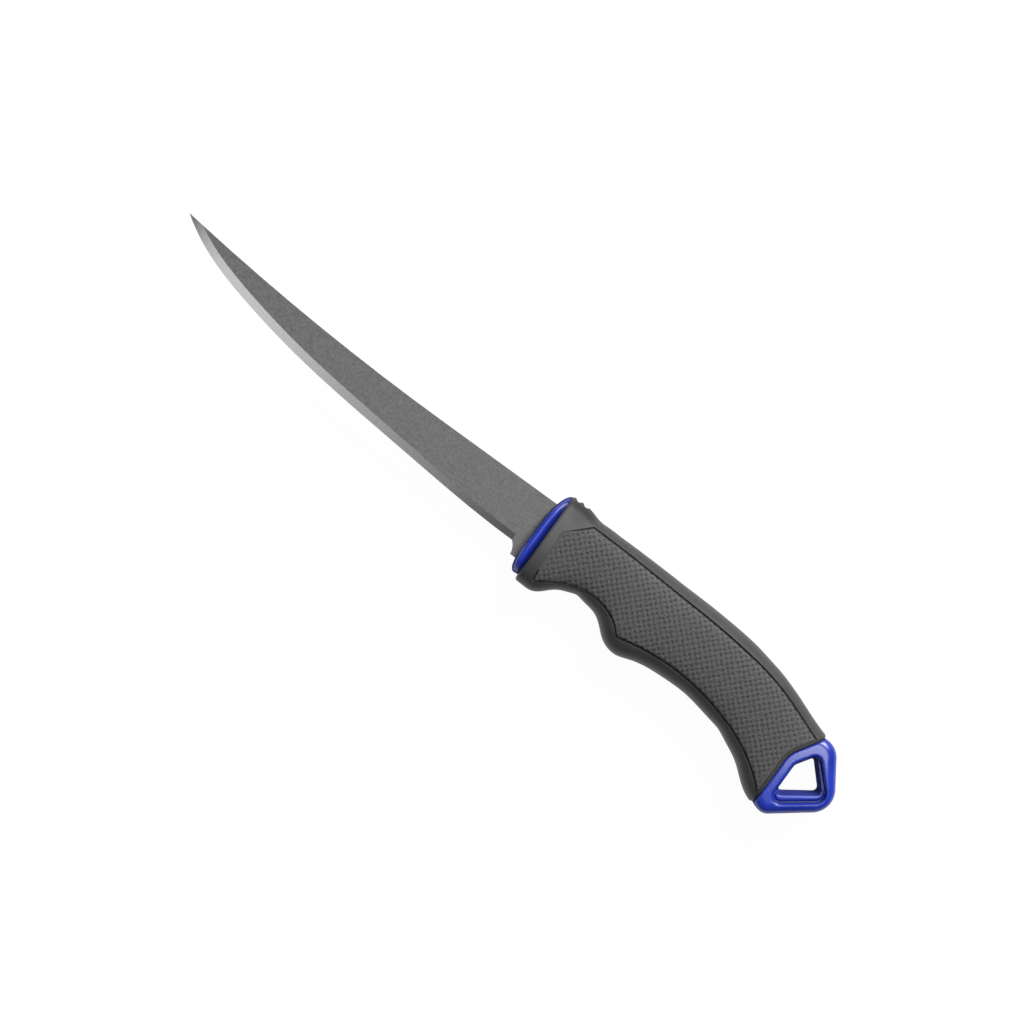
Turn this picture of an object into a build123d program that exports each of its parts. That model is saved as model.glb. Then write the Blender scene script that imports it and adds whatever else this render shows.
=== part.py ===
from build123d import *
import os
from math import cos, pi, sin

# Fillet knife with a coated, upswept blade and a two-colour moulded handle.
# A hard core holds the tang and shows as the front collar and the lanyard loop.
# A rubber sleeve is moulded over the core, and each flank holds a grip panel.
#
# X runs from the tip to the butt, Y from the cutting edge to the spine and
# Z out of the left side. While it is modelled, x = 0 is the collar's front,
# y = 0 the straight spine line and z = 0 the blade's middle plane. The last
# step moves the origin to the middle of the underside of the knife at rest.
# Lengths are millimetres.

# Blade
blade_length = 152.4
blade_thickness = 2.0
heel_depth = 18.1
tip_rise = 6.4
straight_spine_length = 46.0
edge_land = 0.24
bevel_width = 2.9
heel_bevel_width = 2.2
heel_setback = 4.3
lug_setback = 2.1
lug_depth = 22.2
heel_curve_depth = 0.35

# Tang, a little thinner than the blade, seated in the collar by its shoulders
tang_relief = 0.1
tang_height = 11.5
tang_end_height = 7.0
tang_setback = 16.0
tang_lead = 0.6
tang_end_radius = 2.0
shoulder_seat = 1.6
shoulder_radius = 0.8
tang_side_clearance = 0.08
tang_edge_clearance = 0.15

# Cross pins that hold the tang in the core
pin_diameter = 4.0
pin_press_clearance = 0.01
pin_tang_clearance = 0.15
pin_chamfer = 0.3
pin_place_shares = (0.2, 0.5, 0.8)

# Handle
grip_depth = 27.8
grip_length = 105.8
grip_thickness = 22.0
collar_length = 3.8
collar_thickness = 18.6
core_thickness = 12.0
bar_lead = 0.5
rubber_wall = 3.0
rim_radius = 0.9
rim_steps = 3
rim_bottom_share = 1.8
rear_radius = 1.1

# Thumb ridges across the top of the sleeve, left standing between grooves
ridge_groove_count = 2
ridge_pitch = 3.05
ridge_height = 0.65
ridge_groove_radius = 1.3
first_groove_setback = 2.2

# Grip panels
panel_skin = 0.9
panel_gap = 0.45
panel_rim = 1.4
panel_rear_gap_share = 0.3
panel_corner_radius = 0.9

# Lanyard loop
loop_length = 20.1
loop_thickness = 17.6
loop_root = 2.0
loop_web = 3.0
crown_rise = 2.6
crown_width = 3.2
lip_radius = 1.3
lip_depth_share = 0.85
round_steps = 4
ledge_depth = 2.4
groove_width = 0.8
groove_depth = 0.9
loop_corner_radii = (7.0, 7.6, 4.2)
eye_radii = (3.0, 1.0, 1.5, 0.9)
ledge_radii = (2.7, 1.0, 1.8, 1.0)
recess_radii = (3.0, 2.0, 3.2, 2.4)
butt_bend_radius = 9.0

# One overrun for every cut that has to pass clear of a face
overrun = 5.0

# Cutting edge, heel to tip: shares of the blade's length and of the heel's depth
edge_shares = ((0.15, 0.966), (0.31, 0.861), (0.48, 0.739), (0.655, 0.562), (0.78, 0.36), (0.912, 0.04))

# Where the bevel reaches its full width, as a share of the blade's length
full_bevel_share = 0.4

# Control points of one side of a handle section, top to bottom: shares of half
# the depth and of half the thickness, which the curve reaches at mid-flank
flank_shares = ((1, 0), (1, 1.32), (0.42, 0.94), (-0.42, 0.94), (-1, 1.32), (-1, 0))

# Sections of the collar: share of its length, then the top and the bottom as
# shares of the grip's depth, then the thickness as a share of the collar's
collar_shares = (
    (0.0, -0.19, -0.8, 0.8),
    (0.1, -0.085, -0.865, 0.9),
    (0.22, 0.0, -0.905, 0.97),
    (0.42, 0.085, -0.937, 1.0),
    (0.7, 0.15, -0.945, 0.93),
    (1.0, 0.176, -0.94, 0.85),
)

# Sections of the grip, front rim to butt: share of the length between them, then the
# top and the bottom as shares of its depth, then the thickness as a share of its own
grip_shares = (
    (0.0, 0.191, -1.006, 0.885),
    (0.026, 0.192, -1.01, 0.89),
    (0.051, 0.186, -1.006, 0.89),
    (0.074, 0.166, -0.966, 0.89),
    (0.102, 0.138, -0.868, 0.892),
    (0.145, 0.135, -0.771, 0.897),
    (0.202, 0.13, -0.742, 0.905),
    (0.25, 0.129, -0.774, 0.925),
    (0.283, 0.127, -0.842, 0.94),
    (0.317, 0.124, -0.953, 0.957),
    (0.35, 0.12, -1.018, 0.972),
    (0.384, 0.116, -1.032, 0.985),
    (0.431, 0.109, -0.98, 1.0),
    (0.508, 0.102, -0.926, 1.0),
    (0.588, 0.088, -0.913, 1.0),
    (0.67, 0.065, -0.939, 0.992),
    (0.746, 0.026, -0.996, 0.978),
    (0.822, -0.034, -1.099, 0.96),
    (0.889, -0.106, -1.236, 0.945),
    (0.942, -0.178, -1.396, 0.937),
    (1.0, -0.262, -1.5, 0.93),
    (1.055, -0.33, -1.56, 0.925),
    (1.1, -0.382, -1.6, 0.92),
)

# Top and bottom of the grip at its waist, as shares of its depth
waist_shares = (0.13, -0.742)

# Line between the sleeve and the loop: shares of the grip's length and depth
butt_line_shares = ((1.087, -0.252), (1.0, -0.77), (1.0, -1.65))

# Outline of a panel, in shares of the grip's length and depth
panel_front_shares = ((0.107, 0.022), (0.034, -0.243), (0.048, -0.925))
panel_front_growth_shares = ((-0.3, 1.0), (-0.25, 0.3), (-0.7, -1.0))
panel_top_shares = (
    (0.281, 0.004),
    (0.436, -0.026),
    (0.591, -0.058),
    (0.71, -0.102),
    (0.84, -0.187),
    (0.96, -0.338),
    (1.08, -0.51),
)
panel_waist_shares = ((0.114, -0.738), (0.211, -0.624), (0.308, -0.694))
panel_bump_share = (0.357, -0.848)
panel_belly_shares = (
    (0.474, -0.768),
    (0.552, -0.752),
    (0.706, -0.817),
    (0.84, -0.975),
    (0.955, -1.237),
    (1.03, -1.55),
)

# Corners of the loop, its eye, the ledge's inner edge and the recess round the
# ledge: shares of the loop's length behind the butt and of the grip's depth
# below the spine line
loop_corner_shares = ((-0.2, -0.374), (0.559, -0.374), (1.146, -1.007), (0.19, -1.538), (-0.2, -1.41))
eye_shares = ((0.194, -0.838), (0.38, -0.632), (0.757, -0.924), (0.194, -1.205))
ledge_shares = ((0.179, -0.835), (0.395, -0.596), (0.836, -0.937), (0.179, -1.265))
recess_shares = ((0.164, -0.826), (0.403, -0.561), (0.962, -0.972), (0.164, -1.4))

# Places that several pieces share
butt_x = collar_length + grip_length
panel_seat = core_thickness / 2 + panel_skin
tang_thickness = blade_thickness - 2 * tang_relief
tang_end_x = butt_x - tang_setback
waist_middle = grip_depth * (waist_shares[0] + waist_shares[1]) / 2
tang_top = waist_middle + tang_height / 2
tang_bottom = waist_middle - tang_height / 2
tang_end_top = tang_bottom + tang_end_height


def grip_point(share):
    # A point of the grip's outline from its shares of length and depth
    return (collar_length + share[0] * grip_length, share[1] * grip_depth)


def loop_point(share):
    # A point of the loop from its shares of loop length and grip depth
    return (butt_x + share[0] * loop_length, share[1] * grip_depth)


def grip_sections():
    # Place, top, bottom and half thickness of each section of the grip
    front_x = collar_length + rim_radius
    sections = []
    for length_share, top_share, bottom_share, thickness_share in grip_shares:
        x = front_x + length_share * (butt_x - front_x)
        half_thickness = thickness_share * grip_thickness / 2
        sections.append((x, top_share * grip_depth, bottom_share * grip_depth, half_thickness))
    return sections


def grip_top(x):
    # Height of the grip's top over the spine line, between two of its sections
    sections = grip_sections()
    for front, rear in zip(sections, sections[1:]):
        if x <= rear[0]:
            return front[1] + (rear[1] - front[1]) * (x - front[0]) / (rear[0] - front[0])


def tang_middle(x):
    # Height of the tang's middle line
    part_way = (x - shoulder_seat) / (tang_end_x - shoulder_seat)
    top = tang_top + (tang_end_top - tang_top) * part_way
    return (top + tang_bottom) / 2


def section_face(x, top, bottom, half_thickness):
    # One cross-section of the handle, a squarish oval in the plane across the knife
    middle = (top + bottom) / 2
    half_depth = (top - bottom) / 2
    left = [(middle + across * half_depth, out * half_thickness) for across, out in flank_shares]
    right = [(y, -z) for y, z in left]
    with BuildSketch(Plane.YZ.offset(x)) as section:
        with BuildLine():
            Bezier(*left)
            Bezier(*reversed(right))
        make_face()
    return section.sketch


def closed_outline(points, radii, z):
    # A closed outline with rounded corners at the height z
    with BuildSketch(Plane.XY.offset(z)) as outline:
        with BuildLine():
            FilletPolyline(*points, radius=radii, close=True)
        make_face()
    return outline.sketch


def rounded_stack(outline, z, rise, growth):
    # The outline grows, or shrinks where growth is negative, on a quarter oval as it
    # rises from z
    with BuildPart() as stack:
        for step in range(round_steps + 1):
            angle = pi / 2 * step / round_steps
            with BuildSketch(Plane.XY.offset(z + rise * sin(angle))):
                add(outline)
                if step:
                    offset(amount=growth * (1 - cos(angle)))
        loft()
    return stack.part


def butt_side(shift):
    # Everything behind the line between sleeve and loop, with that line moved by shift
    line = [(x + shift, y) for x, y in map(grip_point, butt_line_shares)]
    far_x = butt_x + 2 * loop_length
    with BuildSketch(Plane.XY.offset(-grip_thickness)) as outline:
        with BuildLine():
            FilletPolyline(*line, radius=butt_bend_radius)
            Polyline(line[-1], (far_x, line[-1][1]), (far_x, line[0][1]), line[0])
        make_face()
    with BuildPart() as side:
        add(outline.sketch)
        extrude(amount=2 * grip_thickness)
    return side.part


def panel_prism(growth):
    # The panel's outline, grown by growth, as a prism that stands on the panel's seat
    front = []
    for share, direction in zip(panel_front_shares, panel_front_growth_shares):
        x, y = grip_point(share)
        front.append((x + direction[0] * growth, y + direction[1] * growth))
    top = [(x, y + growth) for x, y in map(grip_point, panel_top_shares)]
    waist = [(x, y - growth) for x, y in map(grip_point, panel_waist_shares)]
    belly = [(x, y - growth) for x, y in map(grip_point, panel_belly_shares)]
    bump = (grip_point(panel_bump_share)[0], grip_point(panel_bump_share)[1] - growth)
    with BuildSketch(Plane.XY.offset(panel_seat)) as outline:
        with BuildLine():
            Spline([front[0]] + top)
            Polyline(front)
            Spline([front[-1]] + waist + [bump])
            Spline([bump] + belly)
            Line(belly[-1], top[-1])
        make_face()
        for corner in front + [bump]:
            fillet(outline.vertices().sort_by_distance(corner)[0], radius=panel_corner_radius)
    with BuildPart() as prism:
        add(outline.sketch)
        extrude(amount=grip_thickness)
        add(butt_side(panel_rear_gap_share * growth - panel_rim), mode=Mode.SUBTRACT)
    return prism.part


def edge_points(rise):
    # The cutting edge from heel to tip, lifted by the given part of the bevel's width
    line = [(heel_setback / blade_length, -heel_depth)]
    line += [(share, -drop * heel_depth) for share, drop in edge_shares]
    line += [(1, tip_rise)]
    points = []
    for share, y in line:
        widening = min(share / full_bevel_share, 1)
        width = heel_bevel_width + (bevel_width - heel_bevel_width) * widening
        points.append((-share * blade_length, y + rise * width))
    return points


def tang_face(growth):
    # The shoulders and the tang from the side, grown by growth
    with BuildSketch() as outline:
        with BuildLine():
            Polyline(
                (-tang_lead, 0),
                (shoulder_seat, 0),
                (shoulder_seat, tang_top),
                (tang_end_x, tang_end_top),
                (tang_end_x, tang_bottom),
                (shoulder_seat, tang_bottom),
                (shoulder_seat, -lug_depth),
                (-tang_lead, -lug_depth),
                close=True,
            )
        make_face()
        fillet(outline.vertices().sort_by(Axis.X)[-2:], radius=tang_end_radius)
        for y in (tang_top, tang_bottom):
            fillet(outline.vertices().sort_by_distance((shoulder_seat, y))[0], radius=shoulder_radius)
        if growth:
            offset(amount=growth)
    return outline.sketch


pin_places = [(share * tang_end_x, tang_middle(share * tang_end_x)) for share in pin_place_shares]

# Blade: the plate with its two ground bevels, then the tang
heel_point = (-heel_setback, -heel_depth)
lug_point = (-lug_setback, -lug_depth)
heel_curve_point = (
    (heel_point[0] + lug_point[0]) / 2 + heel_curve_depth,
    (heel_point[1] + lug_point[1]) / 2 + heel_curve_depth,
)
spine_end = (-straight_spine_length, 0)

with BuildPart() as bevel_cut:
    for z in (-edge_land, blade_thickness):
        rise = (z - edge_land / 2) / (blade_thickness / 2 - edge_land / 2)
        line = edge_points(rise)
        far_x = -blade_length - overrun
        far_y = -heel_depth - lug_depth
        with BuildSketch(Plane.XY.offset(z)):
            with BuildLine():
                Spline(line)
                Polyline(line[-1], (far_x, line[-1][1]), (far_x, far_y), (-heel_setback, far_y), line[0])
            make_face()
    loft(ruled=True)

with BuildPart() as blade:
    with BuildSketch():
        with BuildLine():
            Line((-tang_lead, 0), spine_end)
            TangentArc(spine_end, (-blade_length, tip_rise), tangent=(-1, 0))
            Spline(edge_points(0))
            ThreePointArc(heel_point, heel_curve_point, lug_point)
            Polyline(lug_point, (-tang_lead, -lug_depth), (-tang_lead, 0))
        make_face()
    extrude(amount=blade_thickness / 2, both=True)
    add(bevel_cut.part, mode=Mode.SUBTRACT)
    mirror(bevel_cut.part, about=Plane.XY, mode=Mode.SUBTRACT)
    add(tang_face(0))
    extrude(amount=tang_thickness / 2, both=True)
    with Locations(*pin_places):
        Hole(radius=pin_diameter / 2 + pin_tang_clearance)
blade.part.label = "blade"

# Plain body of the grip, lofted through its sections, cut off at the loop and
# rounded there
with BuildPart() as grip_body:
    for section in grip_sections():
        add(section_face(*section))
    loft()
    x, top, bottom, half_thickness = grip_sections()[0]
    for step in range(rim_steps + 1):
        angle = pi / 2 * step / rim_steps
        inset = rim_radius * (1 - cos(angle))
        add(
            section_face(
                x - rim_radius * sin(angle),
                top - inset,
                bottom + rim_bottom_share * inset,
                half_thickness - inset,
            )
        )
    loft()
    add(butt_side(0), mode=Mode.SUBTRACT)
    rear_faces = grip_body.faces().filter_by_position(Axis.X, butt_x - rubber_wall, butt_x + loop_length)
    fillet(rear_faces.edges().filter_by(GeomType.BSPLINE), radius=rear_radius)

# Bar of the core inside the sleeve, inset from the grip by the rubber's wall. It
# starts just inside the collar's rear, so the grip's first two sections are left out
with BuildPart() as core_bar:
    collar_rear = collar_shares[-1]
    bar_top = [(collar_length - bar_lead, collar_rear[1] * grip_depth - rubber_wall)]
    bar_bottom = [(collar_length - bar_lead, collar_rear[2] * grip_depth + rubber_wall)]
    for x, top, bottom, half_thickness in grip_sections()[2:]:
        bar_top.append((x, top - rubber_wall))
        bar_bottom.append((x, bottom + rubber_wall))
    with BuildSketch():
        with BuildLine():
            Spline(bar_top)
            Spline(bar_bottom)
            Line(bar_top[0], bar_bottom[0])
            Line(bar_top[-1], bar_bottom[-1])
        make_face()
    extrude(amount=core_thickness / 2, both=True)
    add(butt_side(loop_root), mode=Mode.SUBTRACT)

# Front collar, a rounded flange
with BuildPart() as collar:
    for length_share, top_share, bottom_share, thickness_share in collar_shares:
        add(
            section_face(
                length_share * collar_length,
                top_share * grip_depth,
                bottom_share * grip_depth,
                thickness_share * collar_thickness / 2,
            )
        )
    loft()

# Eye of the lanyard loop: on both sides a recess with a rounded lip, and in it a
# ledge with a groove along its outside that tapers in to a web
with BuildPart() as eye_cut:
    eye_points = [loop_point(share) for share in eye_shares]
    ledge_points = [loop_point(share) for share in ledge_shares]
    recess_points = [loop_point(share) for share in recess_shares]
    lip_z = loop_thickness / 2 - lip_depth_share * lip_radius
    ledge_z = loop_thickness / 2 - ledge_depth
    groove_z = ledge_z - groove_depth
    add(closed_outline(eye_points, eye_radii, loop_web / 2))
    add(closed_outline(ledge_points, ledge_radii, ledge_z))
    loft(ruled=True)
    add(closed_outline(recess_points, recess_radii, ledge_z))
    extrude(amount=lip_z - ledge_z)
    add(rounded_stack(closed_outline(recess_points, recess_radii, 0), lip_z, lip_radius, lip_radius))
    with BuildSketch(Plane.XY.offset(groove_z)):
        add(closed_outline(recess_points, recess_radii, 0))
        offset(amount=-groove_width, mode=Mode.SUBTRACT)
    extrude(amount=groove_depth)
    add(closed_outline(eye_points, eye_radii, 0))
    extrude(amount=loop_web / 2)
    mirror(about=Plane.XY)

with BuildPart() as loop:
    loop_points = [loop_point(share) for share in loop_corner_shares]
    crown_z = loop_thickness / 2 - crown_rise
    with BuildSketch() as loop_outline:
        with BuildLine():
            FilletPolyline(*loop_points, radius=loop_corner_radii)
            Line(loop_points[-1], loop_points[0])
        make_face()
    extrude(amount=crown_z)
    add(rounded_stack(loop_outline.sketch, crown_z, crown_rise, -crown_width))
    mirror(about=Plane.XY)
    add(eye_cut.part, mode=Mode.SUBTRACT)
    add(butt_side(0), mode=Mode.INTERSECT)

# Core: collar, bar and loop in one moulding, with the tang's slot and the pin bores
with BuildPart() as handle_core:
    add(collar.part)
    add(core_bar.part)
    add(loop.part)
    add(tang_face(tang_edge_clearance))
    extrude(amount=tang_thickness / 2 + tang_side_clearance, both=True, mode=Mode.SUBTRACT)
    with Locations(*pin_places):
        Hole(radius=pin_diameter / 2 + pin_press_clearance)
handle_core.part.label = "handle_core"

# Sleeve: the grip's body without the core, the panel pockets and the ridge grooves
with BuildPart() as grip_sleeve:
    add(grip_body.part)
    add(core_bar.part, mode=Mode.SUBTRACT)
    pocket = panel_prism(panel_gap)
    add(pocket, mode=Mode.SUBTRACT)
    mirror(pocket, about=Plane.XY, mode=Mode.SUBTRACT)
    for number in range(ridge_groove_count):
        x = collar_length + first_groove_setback + number * ridge_pitch
        y = grip_top(x) - ridge_height + ridge_groove_radius
        with Locations((x, y, 0)):
            Cylinder(ridge_groove_radius, grip_thickness, mode=Mode.SUBTRACT)
grip_sleeve.part.label = "grip_sleeve"

# Grip panels: the grip's own flanks inside the panel outline
with BuildPart() as grip_panel_left:
    add(panel_prism(0))
    add(grip_body.part, mode=Mode.INTERSECT)
grip_panel_left.part.label = "grip_panel_left"

with BuildPart() as grip_panel_right:
    mirror(grip_panel_left.part, about=Plane.XY)
grip_panel_right.part.label = "grip_panel_right"

# Cross pins, front to rear
pins = []
for place, place_name in zip(pin_places, ("front", "middle", "rear")):
    with BuildPart() as tang_pin:
        with Locations(place):
            Cylinder(pin_diameter / 2, core_thickness)
        chamfer(tang_pin.faces().filter_by(Plane.XY).edges(), length=pin_chamfer)
    tang_pin.part.label = "tang_pin_" + place_name
    pins.append(tang_pin.part)

# The knife lies on its right side, with the origin in the middle of its underside
pieces = [blade.part, handle_core.part, grip_sleeve.part, grip_panel_left.part, grip_panel_right.part] + pins
box = Compound(pieces).bounding_box()
to_rest = Location((-box.center().X, -box.center().Y, -box.min.Z))

os.makedirs("parts", exist_ok=True)
for piece in pieces:
    piece.move(to_rest)
    export_step(piece, "parts/" + piece.label + ".step")
print("length, depth and thickness:", box.size)
print("origin moved by:", to_rest.position)
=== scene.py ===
from math import cos, exp, radians, sin, sqrt

import bmesh
import bpy
from mathutils import Matrix, Vector, noise
from mathutils.bvhtree import BVHTree
from mathutils.kdtree import KDTree


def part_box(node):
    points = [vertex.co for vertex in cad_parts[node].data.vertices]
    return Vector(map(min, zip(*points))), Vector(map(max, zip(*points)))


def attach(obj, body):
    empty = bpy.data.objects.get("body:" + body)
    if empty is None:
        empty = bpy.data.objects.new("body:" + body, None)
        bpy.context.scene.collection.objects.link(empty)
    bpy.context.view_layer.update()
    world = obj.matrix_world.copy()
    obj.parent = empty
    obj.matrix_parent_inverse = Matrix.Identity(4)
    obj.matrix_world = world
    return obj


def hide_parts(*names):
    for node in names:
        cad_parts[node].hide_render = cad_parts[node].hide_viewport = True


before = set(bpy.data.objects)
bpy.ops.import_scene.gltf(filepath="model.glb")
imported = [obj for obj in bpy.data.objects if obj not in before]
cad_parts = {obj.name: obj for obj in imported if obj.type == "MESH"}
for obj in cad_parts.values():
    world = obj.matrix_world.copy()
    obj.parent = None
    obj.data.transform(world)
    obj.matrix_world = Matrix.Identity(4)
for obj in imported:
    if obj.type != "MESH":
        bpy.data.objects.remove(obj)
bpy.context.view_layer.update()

mm = 0.001
scene = bpy.context.scene

# The knife lies on its right side: X runs from tip to butt, Y towards the spine
# and Z out of its left side. Its middle plane stands this high over the floor.
bladeLow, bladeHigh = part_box("blade")
middleHeight = (bladeLow.z + bladeHigh.z) / 2


# Shader nodes

class Wire:
    # One output of a node. Sums and comparisons of wires and numbers add Math nodes.

    def __init__(self, tree, socket):
        self.tree = tree
        self.socket = socket

    def combine(self, operation, first, second=None):
        node = self.tree.nodes.new("ShaderNodeMath")
        node.operation = operation
        for place, value in enumerate((first, second)):
            if isinstance(value, Wire):
                self.tree.links.new(value.socket, node.inputs[place])
            elif value is not None:
                node.inputs[place].default_value = value
        return Wire(self.tree, node.outputs[0])

    def __add__(self, other):
        return self.combine("ADD", self, other)

    def __radd__(self, other):
        return self.combine("ADD", other, self)

    def __sub__(self, other):
        return self.combine("SUBTRACT", self, other)

    def __rsub__(self, other):
        return self.combine("SUBTRACT", other, self)

    def __mul__(self, other):
        return self.combine("MULTIPLY", self, other)

    def __rmul__(self, other):
        return self.combine("MULTIPLY", other, self)

    def __gt__(self, other):
        return self.combine("GREATER_THAN", self, other)

    def __lt__(self, other):
        return self.combine("LESS_THAN", self, other)

    def __abs__(self):
        return self.combine("ABSOLUTE", self)


class ShaderTree:
    # The nodes of a material, or of the world

    def __init__(self, owner):
        owner.use_nodes = True
        self.owner = owner
        self.tree = owner.node_tree
        self.tree.nodes.clear()

    def add(self, kind, settings, values, output=0):
        node = self.tree.nodes.new("ShaderNode" + kind)
        for name, setting in settings.items():
            setattr(node, name, setting)
        for name, value in values.items():
            socket = node.inputs[name]
            if isinstance(value, Wire):
                self.tree.links.new(value.socket, socket)
            elif socket.type == "RGBA" and len(value) == 3:
                socket.default_value = (*value, 1)
            else:
                socket.default_value = value
        return Wire(self.tree, node.outputs[output]) if node.outputs else None

    def place(self, scale=(1.0, 1.0, 1.0)):
        # Object coordinates in millimetres, times a scale for each axis
        here = self.add("TexCoord", {}, {}, "Object")
        perMetre = [share / mm for share in scale]
        return self.add("VectorMath", {"operation": "MULTIPLY"}, {0: here, 1: perMetre})

    def along(self, axis, vector):
        return self.add("SeparateXYZ", {}, {"Vector": vector}, axis)

    def flatness(self):
        # 1 where a face looks straight out of a flank, 0 on an upright wall
        return abs(self.along("Z", self.add("NewGeometry", {}, {}, "True Normal")))

    def grain(self, perMm, detail=2.0, roughness=0.5):
        # Noise; the first value is one number, or one for each axis
        scale = [perMm] * 3 if isinstance(perMm, float) else perMm
        values = {"Vector": self.place(scale), "Scale": 1.0, "Detail": detail, "Roughness": roughness}
        return self.add("TexNoise", {}, values, "Fac")

    def between(self, value, low, high):
        # 0 under the low value, 1 over the high one and a smooth slope from one to the other
        values = {"Value": value, "From Min": low, "From Max": high}
        return self.add("MapRange", {"interpolation_type": "SMOOTHSTEP"}, values)

    def stretched(self, grain):
        # Noise seldom leaves the middle of its range
        usualLow, usualHigh = 0.3, 0.7
        return self.between(grain, usualLow, usualHigh)

    def blend(self, share, first, second):
        return self.add("Mix", {"data_type": "RGBA"}, {0: share, 6: first, 7: second}, 2)

    def bump(self, height, strength, depth, normal=None):
        # The depth is in millimetres
        values = {"Height": height, "Strength": strength, "Distance": depth * mm}
        if normal:
            values["Normal"] = normal
        return self.add("Bump", {}, values)

    def roundedEdges(self, radius):
        return self.add("Bevel", {"samples": 12}, {"Radius": radius * mm})

    def leaned(self, normal, share):
        # Normals that lean over by this share of what they did
        flatter = self.add("VectorMath", {"operation": "MULTIPLY"}, {0: normal, 1: (share, share, 1.0)})
        return self.add("VectorMath", {"operation": "NORMALIZE"}, {0: flatter})

    def surface(self, values):
        shader = self.add("BsdfPrincipled", {}, values)
        self.add("OutputMaterial", {}, {"Surface": shader})
        return self.owner


# Finishes. Grain and patches are noise, fine and coarse, counted for each millimetre;
# depths and radii are millimetres.

bladeFinish = {
    "coatingDark": (0.086, 0.086, 0.086),
    "coatingLight": (0.149, 0.149, 0.149),
    "coatingRoughness": 0.45,
    "roughnessSpread": 0.08,
    "grainPerMm": 1.1,
    "patchesPerMm": 0.45,
    "patchShare": 0.2,
    "bumpStrength": 0.5,
    "bumpDepth": 0.05,
    "steelDark": (0.54, 0.54, 0.54),
    "steelLight": (0.6, 0.6, 0.6),
    "groundRoughness": 0.26,
    "scratchesPerMm": (14.0, 0.5, 0.5),
    "scratchShare": 0.012,        # their depth as a share of the coating's grain
    "bevelFlatness": (0.7, 0.998),  # of the ground bevel; the flats have more
}


def makeBladeMaterial(look):
    nodes = ShaderTree(bpy.data.materials.new("coatedBlade"))
    fine = nodes.grain(look["grainPerMm"], detail=3.0, roughness=0.65)
    coarse = nodes.grain(look["patchesPerMm"])
    speckle = nodes.stretched(fine * (1 - look["patchShare"]) + coarse * look["patchShare"])
    coating = nodes.blend(speckle, look["coatingDark"], look["coatingLight"])
    # The ground bevel is where the faces tilt; the flats look straight out
    steepest, flattest = look["bevelFlatness"]
    flatness = nodes.flatness()
    bevel = (flatness > steepest) * (flatness < flattest)
    scratches = nodes.grain(look["scratchesPerMm"])
    steel = nodes.blend(nodes.stretched(scratches), look["steelDark"], look["steelLight"])
    spread = (1 - bevel) * look["roughnessSpread"] * (speckle - 0.5)
    smoother = bevel * (look["coatingRoughness"] - look["groundRoughness"])
    height = (1 - bevel) * fine + bevel * look["scratchShare"] * scratches
    return nodes.surface({
        "Base Color": nodes.blend(bevel, coating, steel),
        "Metallic": bevel,
        "Roughness": look["coatingRoughness"] + spread - smoother,
        "Normal": nodes.bump(height, look["bumpStrength"], look["bumpDepth"]),
    })


rubberFinish = {
    "dark": (0.044, 0.044, 0.045),
    "light": (0.066, 0.066, 0.067),
    "grainPerMm": 5.0,
    "patchesPerMm": 0.15,
    "patchShare": 0.35,
    "roughness": 0.5,
    "roughnessSpread": 0.14,
    "gloss": 0.3,
    "bumpStrength": 0.35,
    "bumpDepth": 0.03,
    "edgeRadius": 0.4,
    "paintedLightAndShade": (
        # painted light on the sleeve behind the collar, then painted shade round the thumb ridges
        {"colour": (0.095, 0.095, 0.096), "centre": (16.8, 11.4, 0.0), "inner": 2.0, "outer": 13.0},
        {"colour": (0.026, 0.026, 0.027), "centre": (20.4, 22.6, 0.0), "inner": 3.0, "outer": 7.5},
    ),
}


def makeRubberMaterial(look):
    nodes = ShaderTree(bpy.data.materials.new("sleeveRubber"))
    fine = nodes.grain(look["grainPerMm"], detail=3.0, roughness=0.6)
    coarse = nodes.grain(look["patchesPerMm"])
    mottle = nodes.stretched(coarse * look["patchShare"] + fine * (1 - look["patchShare"]))
    colour = nodes.blend(mottle, look["dark"], look["light"])
    # Painted light and shade: a lighter patch stands for light falling on the sleeve behind the collar, a
    # darker one for shade round the thumb ridges
    sideways = nodes.place((1.0, 1.0, 0.0))
    for shade in look["paintedLightAndShade"]:
        values = {0: sideways, 1: shade["centre"]}
        away = nodes.add("VectorMath", {"operation": "DISTANCE"}, values, "Value")
        colour = nodes.blend(nodes.between(away, shade["inner"], shade["outer"]), shade["colour"], colour)
    rounded = nodes.roundedEdges(look["edgeRadius"])
    return nodes.surface({
        "Base Color": colour,
        "Roughness": look["roughness"] + look["roughnessSpread"] * (coarse - 0.5),
        "Specular IOR Level": look["gloss"],
        "Normal": nodes.bump(fine, look["bumpStrength"], look["bumpDepth"], rounded),
    })


panelFinish = {
    # The valley colour is painted shade for the bottom of the pits; the crest colour is the skin's own
    "valley": (0.024, 0.024, 0.0245),
    "crest": (0.094, 0.094, 0.095),
    "pitShadeFrom": 0.1,              # height in the relief where the crest's colour starts
    "pitShadeTo": 0.95,
    "grainPerMm": 5.0,
    "grainShare": 0.4,
    "roughness": 0.5,
    "pitRoughness": 0.12,         # more roughness at the bottom of the pits
    "gloss": 0.35,
    "lean": 0.65,
    "bumpStrength": 0.35,
    "bumpDepth": 0.03,
}


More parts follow.
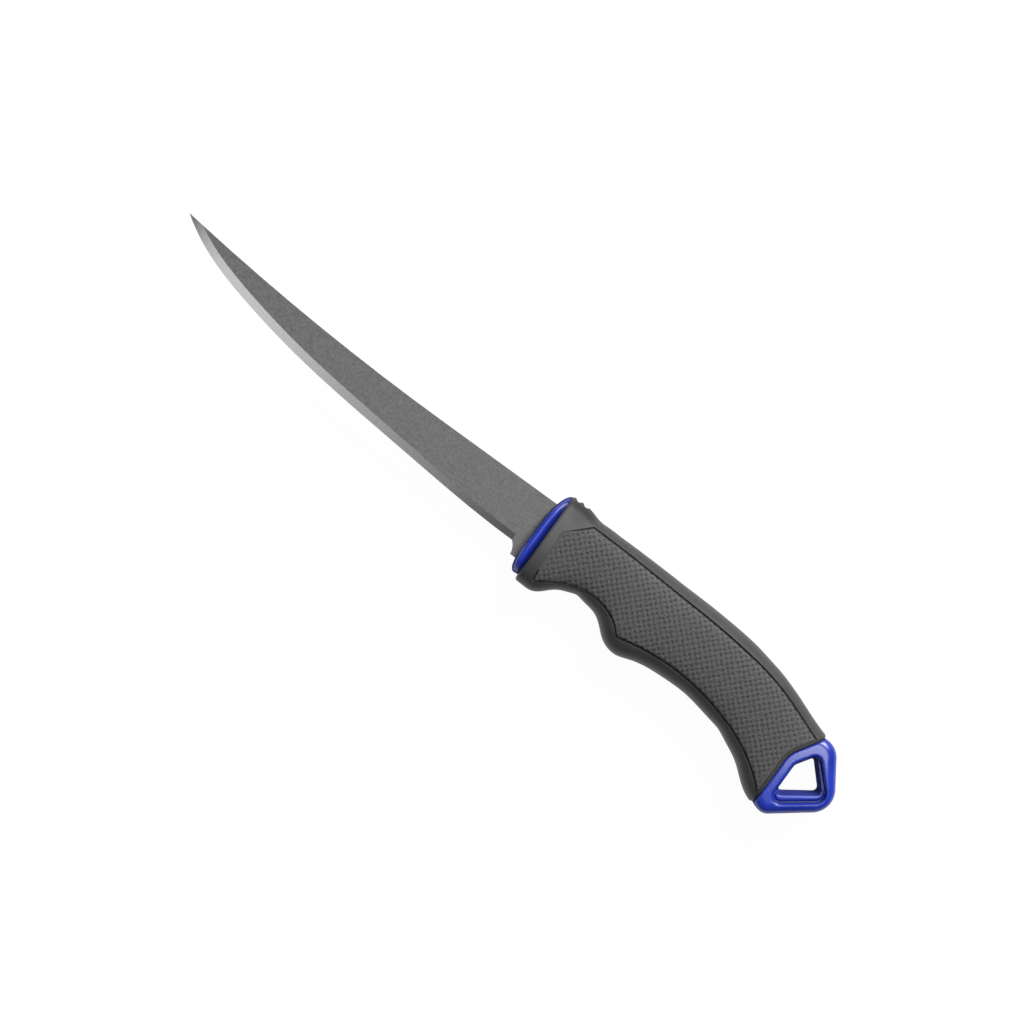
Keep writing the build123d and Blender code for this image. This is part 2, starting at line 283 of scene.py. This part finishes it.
def makePanelMaterial(look):
    nodes = ShaderTree(bpy.data.materials.new("panelRubber"))
    height = nodes.add("Attribute", {"attribute_name": "bumpHeight"}, {}, "Fac")
    fine = nodes.grain(look["grainPerMm"], detail=3.0, roughness=0.6)
    # Painted shade in the pits: the lower a point lies in the relief, the darker its colour, broken up a
    # little by grain
    pitShadeFade = nodes.between(height + (fine - 0.5) * look["grainShare"], look["pitShadeFrom"], look["pitShadeTo"])
    flatter = nodes.leaned(nodes.add("NewGeometry", {}, {}, "Normal"), look["lean"])
    return nodes.surface({
        "Base Color": nodes.blend(pitShadeFade, look["valley"], look["crest"]),
        "Roughness": look["roughness"] + (1 - height) * look["pitRoughness"],
        "Specular IOR Level": look["gloss"],
        "Normal": nodes.bump(fine, look["bumpStrength"], look["bumpDepth"], flatter),
    })


plasticFinish = {
    "deep": (0.011, 0.034, 0.4),
    "bright": (0.016, 0.046, 0.48),
    # the colour of the painted shadow on the collar and of the painted shade on the upright walls
    "shade": (0.003, 0.01, 0.16),
    "patchesPerMm": 0.12,
    "grainPerMm": 3.5,
    "gloss": 0.75,
    "roughness": 0.25,
    "roughnessSpread": 0.12,
    "bumpStrength": 0.15,
    "bumpDepth": 0.02,
    "edgeRadius": 1.2,
    "collarEnd": 30.0,            # X in front of which the moulding counts as the collar
    "collarRoughness": 0.4,
    # painted shadow: the sleeve's shadow on the collar, painted between these two X
    "shadeStart": 13.2,           # X where the collar starts to darken towards the sleeve
    "shadeEnd": 14.3,
    "wallFlatness": 0.35,         # under this a face counts as an upright wall
    # share of the painted shade on the upright walls
    "wallShade": 0.7,
    "wallRoughness": 0.95,
    "loopStart": 100.0,           # X behind which the loop's crown falls away
    "crownTop": -3.0,             # Y of the crown's highest line
    "crownFall": 0.0018,          # millimetres for each square millimetre from there
}


def makePlasticMaterial(look):
    nodes = ShaderTree(bpy.data.materials.new("bluePlastic"))
    fine = nodes.grain(look["grainPerMm"], detail=3.0, roughness=0.6)
    coarse = nodes.grain(look["patchesPerMm"], detail=1.0)
    alongX = nodes.along("X", nodes.place())
    alongY = nodes.along("Y", nodes.place())
    # Painted shadow darkens the collar towards the sleeve, and painted shade darkens the upright walls,
    # which are also dull
    collar = alongX < look["collarEnd"]
    wall = nodes.flatness() < look["wallFlatness"]
    colour = nodes.blend(nodes.stretched(coarse), look["deep"], look["bright"])
    shadow = nodes.between(alongX, look["shadeStart"], look["shadeEnd"]) * collar
    for share in (shadow, wall * look["wallShade"]):
        colour = nodes.blend(share, colour, look["shade"])
    roughness = look["roughness"] + look["roughnessSpread"] * (fine - 0.5)
    for share, name in ((collar, "collarRoughness"), (wall, "wallRoughness")):
        roughness += share * (look[name] - look["roughness"])
    below = (alongY - look["crownTop"]) * (alongX > look["loopStart"])
    rounded = nodes.roundedEdges(look["edgeRadius"])
    crowned = nodes.bump(below * below * -look["crownFall"], strength=1.0, depth=1.0, normal=rounded)
    return nodes.surface({
        "Base Color": colour,
        "Roughness": roughness,
        "Specular IOR Level": look["gloss"],
        "Normal": nodes.bump(fine, look["bumpStrength"], look["bumpDepth"], crowned),
    })


pinFinish = {
    "steel": (0.55, 0.55, 0.56),
    "roughness": 0.35,
    "roughnessSpread": 0.15,
    "ringsPerMm": (0.6, 0.6, 9.0),
    "bumpStrength": 0.3,
    "bumpDepth": 0.02,
}


def makePinMaterial(look):
    nodes = ShaderTree(bpy.data.materials.new("turnedPin"))
    rings = nodes.grain(look["ringsPerMm"])
    return nodes.surface({
        "Base Color": look["steel"],
        "Metallic": 1.0,
        "Roughness": look["roughness"] + look["roughnessSpread"] * (rings - 0.5),
        "Normal": nodes.bump(rings, look["bumpStrength"], look["bumpDepth"]),
    })


def dress(node, material):
    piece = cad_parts[node]
    piece.data.materials.clear()
    piece.data.materials.append(material)


dress("blade", makeBladeMaterial(bladeFinish))
dress("handle_core", makePlasticMaterial(plasticFinish))
dress("grip_sleeve", makeRubberMaterial(rubberFinish))
pinMaterial = makePinMaterial(pinFinish)
for pinPlace in ("front", "middle", "rear"):
    dress("tang_pin_" + pinPlace, pinMaterial)
print("finishes made")


# Grip panels with their pits and dots. Lengths are millimetres.

panel = {
    "cellSize": 0.18,         # of the grid that carries the relief
    "reliefPitch": 2.32,      # from pit to pit along and across the knife
    "reliefHeight": 0.24,     # from the bottom of a pit to the top of a dot
    "skinLevel": 0.62,        # of the plain skin, as a share of that height
    "pitRadius": 0.37,
    "dotRadius": 0.36,
    "dotShare": 0.45,         # how far a dot stands over the skin, as a share of the height
    "sizeSpread": 0.25,       # a pit or dot is smaller by up to twice this share
    "stray": 0.18,            # how far a pit or dot may sit from its place
    "grainSize": 0.55,        # of the uneven skin
    "grainShare": 0.32,       # its height as a share of the whole height
    "edgeRound": 0.8,         # rounding along the grooves above and below
    "endRound": 0.03,         # rounding at the panel's front and rear
    "endFade": 2.0,           # how far in from there the relief reaches its full height
    "wallDepth": 2.0,         # how far its wall goes down into the groove
    "frontWidth": 4.5,        # how much of the panel's front end counts as its front edge
    "frontReach": 0.4,        # how far the front edge reaches across the groove
    "creaseTop": -2.4,        # Y under which the groove in front opens again
    "creaseFade": 2.0,        # over this height
    "outlineStep": 0.05,
    "weldReach": 0.0005,
    "backFlatness": 0.999,    # faces that look out of a flank at least this much are flat
    "backReach": 0.01,        # and those this close to the lowest of them are the back
    "sharpAngle": 50.0,       # degrees
}


def scatter(column, row, salt):
    # A repeatable value from -1 to 1 for each pit or dot
    return 2 * ((sin(column * 12.99 + row * 78.23 + salt) * 43758.55) % 1) - 1


def reliefAt(x, y):
    # 0 in a pit to 1 on a dot; x and y in millimetres. Pits and dots take turns like
    # the two colours of a chessboard that stands on a corner.
    pitch = panel["reliefPitch"]
    height = panel["skinLevel"]
    for shiftX in (0.0, 0.5):
        for shiftY in (0.0, 0.5):
            isPit = shiftX == shiftY
            column = round(x / pitch - shiftX)
            row = round(y / pitch - shiftY)
            salt = shiftX + 2 * shiftY
            offsetX = x - (column + shiftX) * pitch - panel["stray"] * scatter(column, row, salt)
            offsetY = y - (row + shiftY) * pitch - panel["stray"] * scatter(row, column, salt)
            radius = panel["pitRadius"] if isPit else panel["dotRadius"]
            size = -panel["skinLevel"] if isPit else panel["dotShare"]
            size *= 1 - panel["sizeSpread"] * (1 - scatter(column + row, row, salt))
            height += size * exp(-(offsetX * offsetX + offsetY * offsetY) / (radius * radius))
    grain = noise.noise(Vector((x, y, 0)) / panel["grainSize"])
    return min(max(height + panel["grainShare"] * grain, 0.0), 1.0)


def panelOutline(node):
    # Corner points of the panel's flat back, in order round it
    shape = bmesh.new()
    shape.from_mesh(node.data)
    bmesh.ops.remove_doubles(shape, verts=shape.verts, dist=panel["weldReach"] * mm)
    heights = {}
    for face in shape.faces:
        if abs(face.normal.z) > panel["backFlatness"]:
            heights[face] = abs(face.calc_center_median().z - middleHeight)
    highest = min(heights.values()) + panel["backReach"] * mm
    back = {face for face, height in heights.items() if height < highest}
    rim = [edge for edge in shape.edges if sum(face in back for face in edge.link_faces) == 1]
    neighbours = {}
    for edge in rim:
        for vert in edge.verts:
            neighbours.setdefault(vert, []).append(edge.other_vert(vert))
    start = rim[0].verts[0]
    loop = [start]
    previous, here = start, neighbours[start][0]
    while here != start:
        loop.append(here)
        onward = [vert for vert in neighbours[here] if vert != previous]
        previous, here = here, onward[0]
    points = [Vector((vert.co.x, vert.co.y)) for vert in loop]
    shape.free()
    return points


def fillIn(points, spacing):
    # Extra points along the outline, less than twice the spacing apart
    dense = []
    for here, onward in zip(points, points[1:] + points[:1]):
        steps = max(1, int((onward - here).length / spacing))
        dense += [here.lerp(onward, step / steps) for step in range(steps)]
    return dense


def reachForward(points, frontX):
    # The front edge reaches across the groove, so that it hardly shows, but not in the
    # crease at its foot. The levels tell how much of the full rounding a point gets.
    outline = []
    levels = []
    for before, point, after in zip(points[-1:] + points[:-1], points, points[1:] + points[:1]):
        along = (after - before).normalized()
        outward = Vector((along.y, -along.x)) * (-1 if along.y > 0 else 1)
        inward = (point.x - frontX) / (panel["frontWidth"] * mm)
        crease = (panel["creaseTop"] * mm - point.y) / (panel["creaseFade"] * mm)
        crease = min(max(crease, 0.0), 1.0) if inward < 1 else 0.0
        openness = min(max(inward, crease), 1.0)
        outline.append(point + outward * panel["frontReach"] * mm * (1 - openness))
        levels.append(max(along.x ** 2 * openness, crease))
    return outline, levels


def layGrid(node, low, high):
    # A grid on the crown of the CAD panel, without what lies outside it
    crown = BVHTree.FromPolygons(
        [vert.co.copy() for vert in node.data.vertices],
        [list(face.vertices) for face in node.data.polygons],
    )
    cell = panel["cellSize"] * mm
    columns = int((high.x - low.x) / cell) + 2
    rows = int((high.y - low.y) / cell) + 2
    shape = bmesh.new()
    centre = Matrix.Translation(((low.x + high.x) / 2, (low.y + high.y) / 2, 0))
    stretch = Matrix.Diagonal((columns * cell / 2, rows * cell / 2, 1, 1))
    bmesh.ops.create_grid(shape, x_segments=columns, y_segments=rows, size=1, matrix=centre @ stretch)
    outside = []
    for vert in shape.verts:
        above = Vector((vert.co.x, vert.co.y, high.z + 10 * mm))
        hit = crown.ray_cast(above, Vector((0, 0, -1)))[0]
        if hit is None:
            outside.append(vert)
        else:
            vert.co.z = hit.z
    bmesh.ops.delete(shape, geom=outside, context="VERTS")
    loose = [vert for vert in shape.verts if not vert.link_faces]
    bmesh.ops.delete(shape, geom=loose, context="VERTS")
    return shape


def pressRelief(shape, heights, outline, levels):
    # Pull the grid's edge out to the outline, round it and press the pits and dots
    outlineTree = KDTree(len(outline))
    for number, point in enumerate(outline):
        outlineTree.insert((point.x, point.y, 0), number)
    outlineTree.balance()
    boundary = {vert for edge in shape.edges if edge.is_boundary for vert in edge.verts}
    for vert in shape.verts:
        nearest, number, distance = outlineTree.find((vert.co.x, vert.co.y, 0))
        if vert in boundary:
            vert.co.x = nearest.x
            vert.co.y = nearest.y
            distance = 0.0
        level = levels[number]
        edgeRound = (panel["endRound"] + (panel["edgeRound"] - panel["endRound"]) * level) * mm
        inner = min(distance / edgeRound, 1.0)
        drop = edgeRound * (1 - sqrt(max(0.0, 1 - (1 - inner) ** 2)))
        fade = min(distance / (panel["endFade"] * mm) + level, 1.0)
        relief = panel["skinLevel"] * (1 - fade) + reliefAt(vert.co.x / mm, vert.co.y / mm) * fade
        vert[heights] = relief
        vert.co.z += (relief - 1) * panel["reliefHeight"] * mm - drop


def closeBack(shape, heights):
    # A wall down into the groove, then a back
    rim = [edge for edge in shape.edges if edge.is_boundary]
    for item in bmesh.ops.extrude_edge_only(shape, edges=rim)["geom"]:
        if isinstance(item, bmesh.types.BMVert):
            item.co.z -= panel["wallDepth"] * mm
            item[heights] = 0.0
    bmesh.ops.holes_fill(shape, edges=[edge for edge in shape.edges if edge.is_boundary], sides=0)
    bmesh.ops.recalc_face_normals(shape, faces=shape.faces)


def buildPanel(nodeName, name):
    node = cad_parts[nodeName]
    low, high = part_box(nodeName)
    points = fillIn(panelOutline(node), panel["outlineStep"] * mm)
    outline, levels = reachForward(points, low.x)
    shape = layGrid(node, low, high)
    heights = shape.verts.layers.float.new("bumpHeight")
    pressRelief(shape, heights, outline, levels)
    closeBack(shape, heights)
    mesh = bpy.data.meshes.new(name)
    shape.to_mesh(mesh)
    shape.free()
    mesh.shade_smooth()
    mesh.set_sharp_from_angle(angle=radians(panel["sharpAngle"]))
    return mesh


def mirrorPanel(leftMesh, name):
    # The same panel on the other flank
    mesh = leftMesh.copy()
    mesh.name = name
    flip = Matrix.Translation((0, 0, 2 * middleHeight)) @ Matrix.Diagonal((1, 1, -1, 1))
    mesh.transform(flip)
    mesh.flip_normals()
    return mesh


panelMaterial = makePanelMaterial(panelFinish)
leftMesh = buildPanel("grip_panel_left", "leftGripPanel")
rightMesh = mirrorPanel(leftMesh, "rightGripPanel")
for mesh, node in ((leftMesh, "grip_panel_left"), (rightMesh, "grip_panel_right")):
    piece = bpy.data.objects.new(mesh.name, mesh)
    scene.collection.objects.link(piece)
    mesh.materials.append(panelMaterial)
    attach(piece, "root")
    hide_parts(node)
print("panels made, faces each:", len(leftMesh.polygons))


# Studio. Lengths are metres; the camera's lens, sensor and aim are millimetres.

studio = {
    "floorSize": 8.0,
    "floorColour": (0.65, 0.65, 0.65),
    "floorLift": 0.965,           # how white the camera sees it before the lamps add a little
    "floorShade": (0.06, 0.06, 0.06),
    "lightDistance": 1.5,
    "worldTop": 0.07,             # brightness of the surroundings from straight above
    "worldSides": 0.08,           # and from low at the sides
    "topHeight": 0.75,            # Z of the directions in which these two are reached
    "sideHeight": 0.15,
}

# Each light's direction is counted to the picture's right, up in it and towards the camera
lights = {
    "keyLight": {"direction": (0.66, 0.75, 0.809), "size": 0.7, "power": 25.0},
    "topLight": {"direction": (0.17, 0.06, 1.0), "size": 0.5, "power": 6.4},
    # shines in the bevel, more and more towards the tip
    "leftLight": {"direction": (-0.74, -0.35, 1.0), "size": 0.5, "power": 1.03},
}

# The camera looks straight down on the left side, turned so that the tip is up left
camera = {
    "lens": 135.0,
    "sensor": 36.0,
    "height": 1.2555,
    "turn": 36.0,
    "aim": (1.62, 7.11),
    "near": 0.05,
    "far": 30.0,
}

cameraData = bpy.data.cameras.new("camera")
cameraData.lens = camera["lens"]
cameraData.sensor_width = camera["sensor"]
cameraData.clip_start = camera["near"]
cameraData.clip_end = camera["far"]
cameraObject = bpy.data.objects.new("camera", cameraData)
cameraObject.location = (camera["aim"][0] * mm, camera["aim"][1] * mm, middleHeight + camera["height"])
cameraObject.rotation_euler = (0, 0, radians(camera["turn"]))
scene.collection.objects.link(cameraObject)
scene.camera = cameraObject


def makeFloorMaterial():
    # Pale and matt; what the camera and gloss see is lifted to white, and shadows stay
    nodes = ShaderTree(bpy.data.materials.new("paleFloor"))
    kinds = ("Is Camera Ray", "Is Glossy Ray", "Is Transmission Ray")
    seen = [nodes.add("LightPath", {}, {}, kind) for kind in kinds]
    lift = nodes.add("Emission", {}, {"Color": (1, 1, 1), "Strength": studio["floorLift"]})
    plain = nodes.add("BsdfDiffuse", {}, {"Color": studio["floorColour"]})
    faint = nodes.add("BsdfDiffuse", {}, {"Color": studio["floorShade"]})
    lifted = nodes.add("AddShader", {}, {0: lift, 1: faint})
    both = nodes.add("MixShader", {}, {0: seen[0] + seen[1] + seen[2], 1: plain, 2: lifted})
    nodes.add("OutputMaterial", {}, {"Surface": both})
    return nodes.owner


floorShape = bmesh.new()
bmesh.ops.create_grid(floorShape, x_segments=1, y_segments=1, size=studio["floorSize"] / 2)
floorMesh = bpy.data.meshes.new("floor")
floorShape.to_mesh(floorMesh)
floorShape.free()
floorMesh.materials.append(makeFloorMaterial())
floor = bpy.data.objects.new("floor", floorMesh)
scene.collection.objects.link(floor)

turn = radians(camera["turn"])
pictureAxes = (Vector((cos(turn), sin(turn), 0)), Vector((-sin(turn), cos(turn), 0)), Vector((0, 0, 1)))
for name, light in lights.items():
    direction = Vector()
    for axis, share in zip(pictureAxes, light["direction"]):
        direction += axis * share
    lamp = bpy.data.lights.new(name, "AREA")
    lamp.shape = "SQUARE"
    lamp.size = light["size"]
    lamp.energy = light["power"]
    lampObject = bpy.data.objects.new(name, lamp)
    lampObject.location = direction.normalized() * studio["lightDistance"]
    lampObject.rotation_euler = direction.to_track_quat("Z", "Y").to_euler()
    scene.collection.objects.link(lampObject)

world = bpy.data.worlds.new("studio")
scene.world = world
sky = ShaderTree(world)
brightness = sky.add("MapRange", {}, {
    "Value": sky.along("Z", sky.add("TexCoord", {}, {}, "Generated")),
    "From Min": studio["sideHeight"],
    "From Max": studio["topHeight"],
    "To Min": studio["worldSides"],
    "To Max": studio["worldTop"],
})
backdrop = sky.add("Background", {}, {"Color": (1, 1, 1), "Strength": brightness})
sky.add("OutputWorld", {}, {"Surface": backdrop})
scene.view_settings.view_transform = "Standard"
print("studio made")
